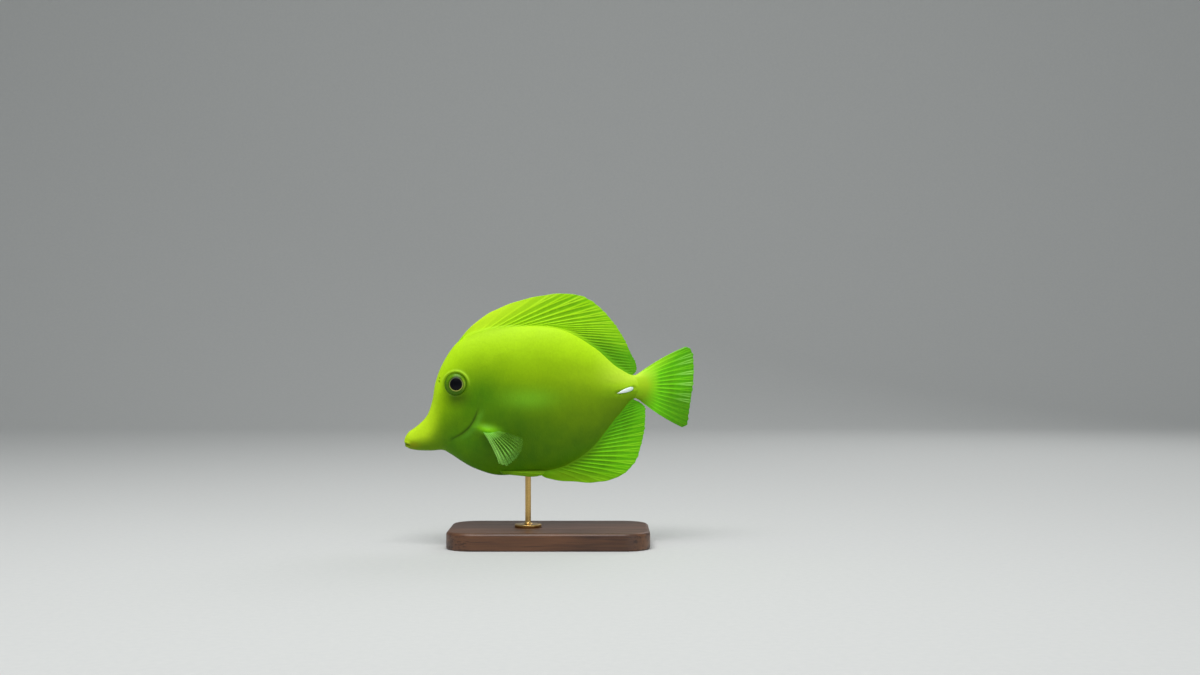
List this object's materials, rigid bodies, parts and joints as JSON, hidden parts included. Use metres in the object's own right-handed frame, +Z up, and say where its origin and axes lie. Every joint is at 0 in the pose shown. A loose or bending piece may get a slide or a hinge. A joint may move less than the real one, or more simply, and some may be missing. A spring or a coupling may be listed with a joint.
{
  "type": "yellow tang",
  "caption": "Life-size still model of a yellow tang swimming level, a deep flat reef fish with tall rayed fins and a pointed snout, held on one rod over a flat display base.",
  "frame": {"origin": "middle of the underside of the stand's base", "axes": "+Z up, the fish faces -X and shows its left side to -Y"},
  "size_m": [0.1509, 0.062, 0.1305],
  "materials": {
    "skin": "satin painted cast, bright yellow-green on the back to green on the belly",
    "fin": "satin, yellow-green, with raised rays",
    "clear_fin": "thin, pale green, with paler rays",
    "eye": "polished, black pupil, thin pale ring and green iris",
    "blade": "smooth white",
    "stand_wood": "dark oiled walnut",
    "stand_brass": "satin brushed"
  },
  "bodies": {
    "root": {"head": "skin", "trunk": "skin", "tail_stem": "skin", "dorsal_fin": "fin", "anal_fin": "fin", "tail_fin": "fin", "left_pectoral_fin": "clear_fin", "right_pectoral_fin": "clear_fin", "left_pelvic_fin": "fin", "right_pelvic_fin": "fin", "left_eye": "eye", "right_eye": "eye", "left_tail_blade": "blade", "right_tail_blade": "blade", "stand_base": "stand_wood", "stand_rod": "stand_brass"}
  },
  "joints": []
}
